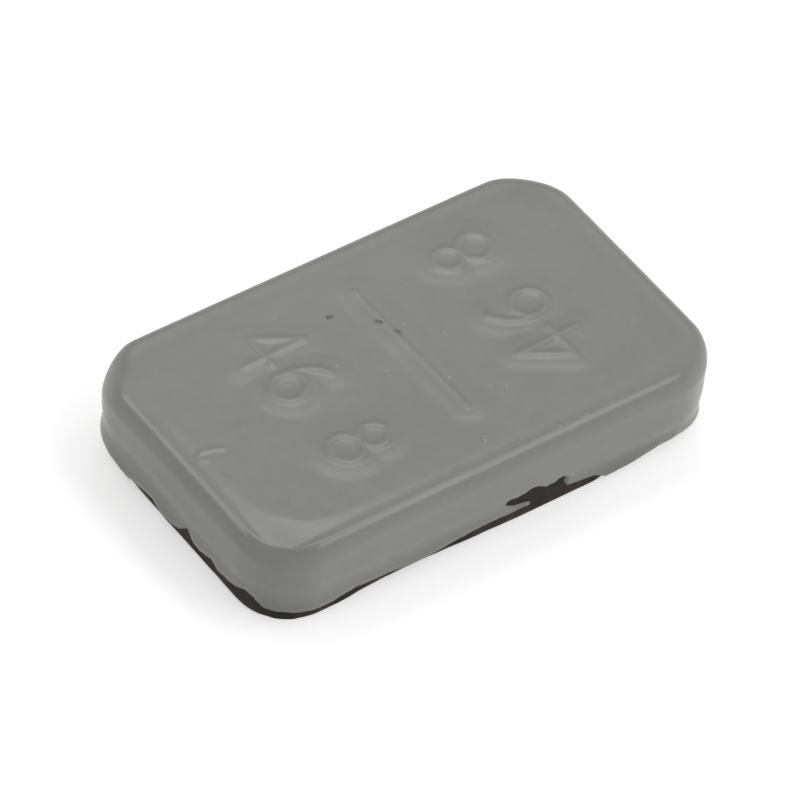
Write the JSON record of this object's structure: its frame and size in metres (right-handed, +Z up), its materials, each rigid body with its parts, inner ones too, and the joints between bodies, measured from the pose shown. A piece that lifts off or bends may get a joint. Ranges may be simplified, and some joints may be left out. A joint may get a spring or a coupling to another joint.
{
  "type": "wheel balance weight",
  "caption": "Small rounded steel slug in a thick grey plastic coat with a raised rib across its top, stuck by its flat underside to a wheel rim to balance it.",
  "frame": {"origin": "middle of the flat underside, the face that is stuck to the rim", "axes": "+X along the weight's length, +Y across it, +Z up through the top face with the raised rib"},
  "size_m": [0.0192, 0.0116, 0.0034],
  "materials": {
    "bare_steel": "dark scaled",
    "grey_plastic_coat": "satin"
  },
  "bodies": {
    "root": {"steel_slug": "bare_steel", "grey_coat": "grey_plastic_coat"}
  },
  "joints": []
}
